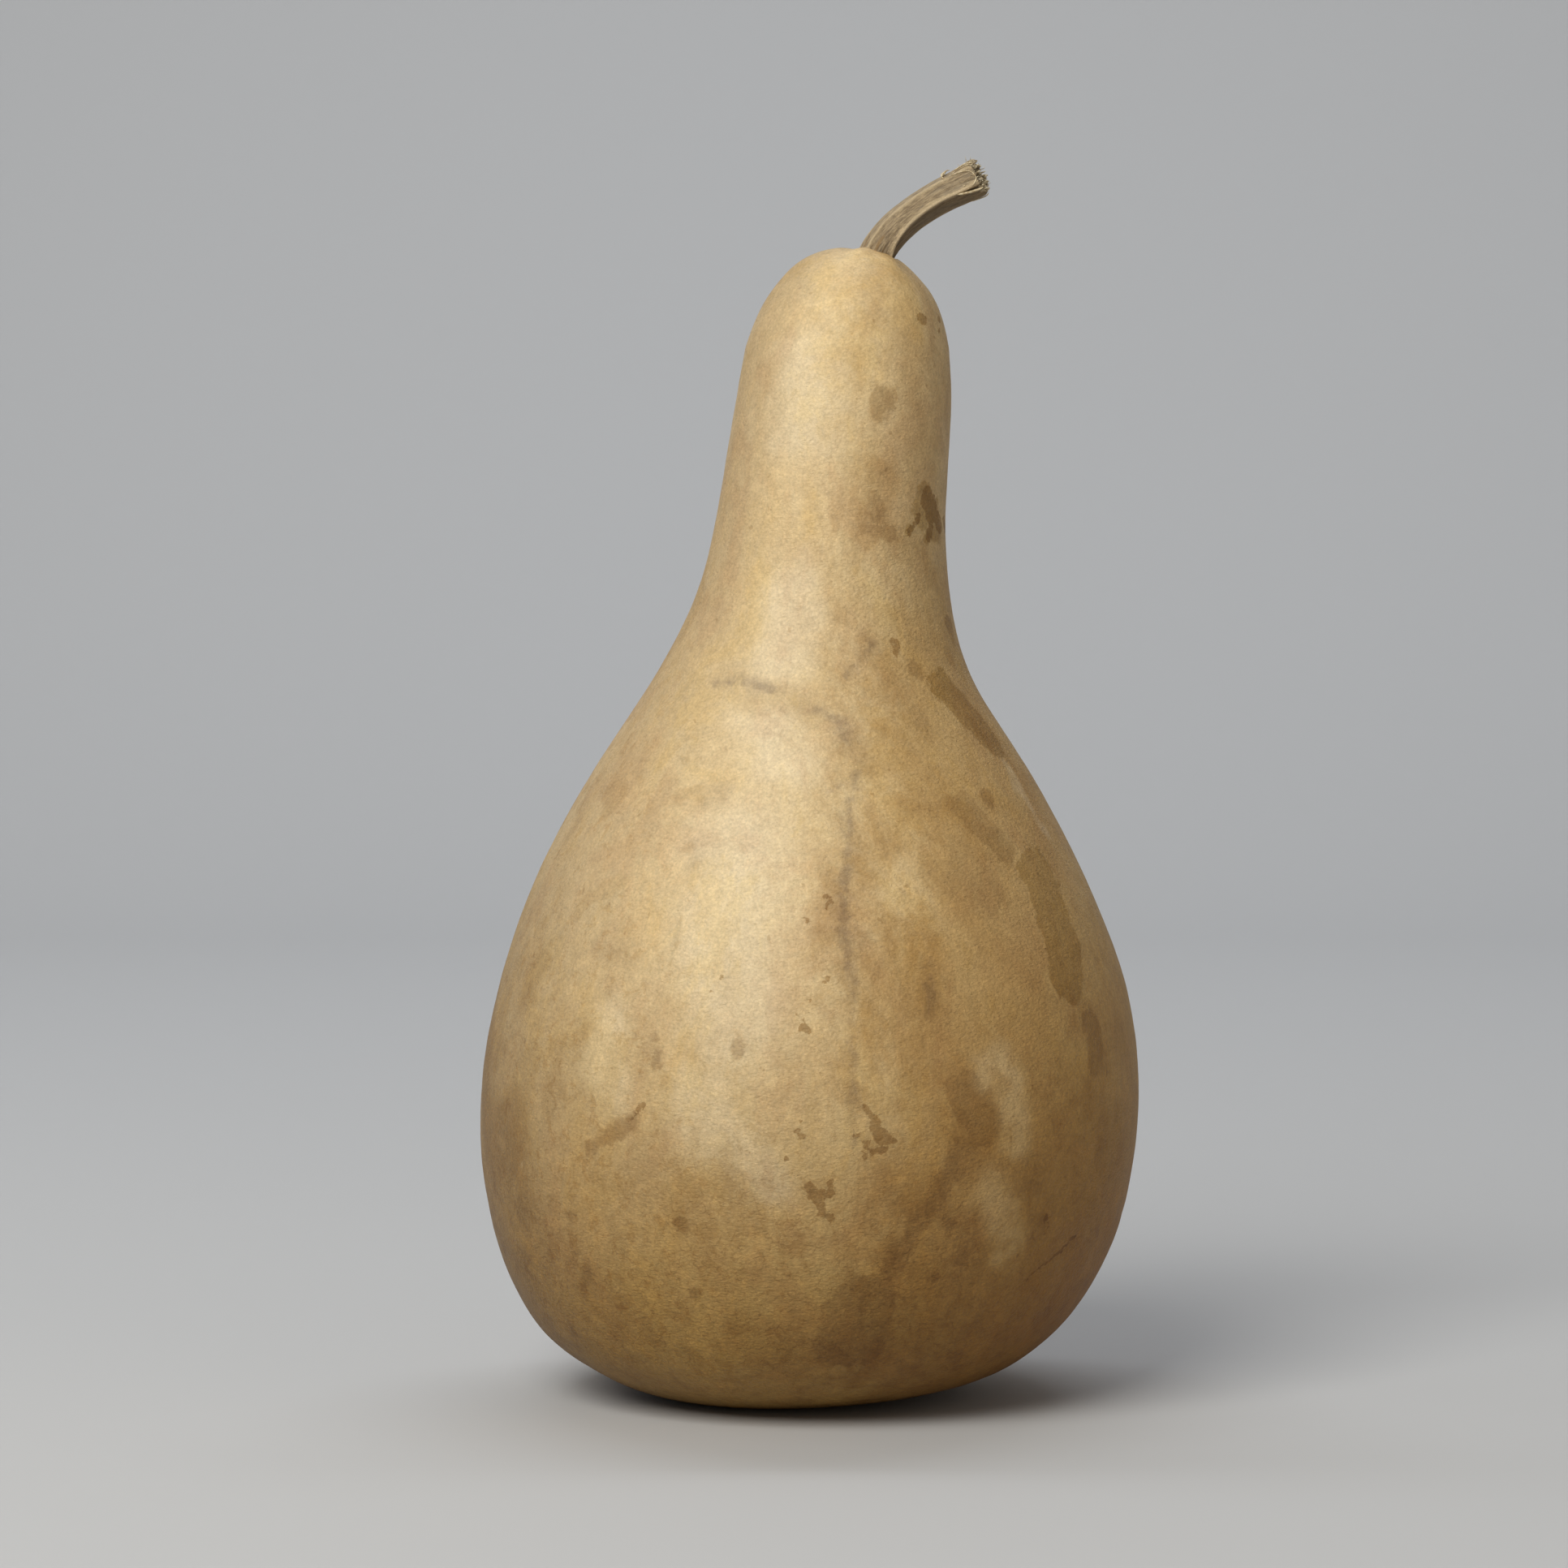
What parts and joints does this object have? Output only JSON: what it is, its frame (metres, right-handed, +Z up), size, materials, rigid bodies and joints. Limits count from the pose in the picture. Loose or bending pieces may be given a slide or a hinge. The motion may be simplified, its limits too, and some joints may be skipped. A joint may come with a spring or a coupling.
{
  "type": "dried gourd",
  "caption": "Dried bottle gourd with a round belly, a swollen neck and a bent ribbed stem, standing on a small flat spot.",
  "frame": {"origin": "centre of the flat spot that the gourd rests on, at the height of the floor", "axes": "+Z up from the flat spot to the stem, +X towards the side that the stem bends to, -Y towards the side that faces the viewer"},
  "size_m": [0.1658, 0.1623, 0.3096],
  "materials": {
    "gourd_skin": "satin",
    "stem_wood": "matte"
  },
  "bodies": {
    "root": {"gourd_body": "gourd_skin", "stem": "stem_wood"}
  },
  "joints": []
}
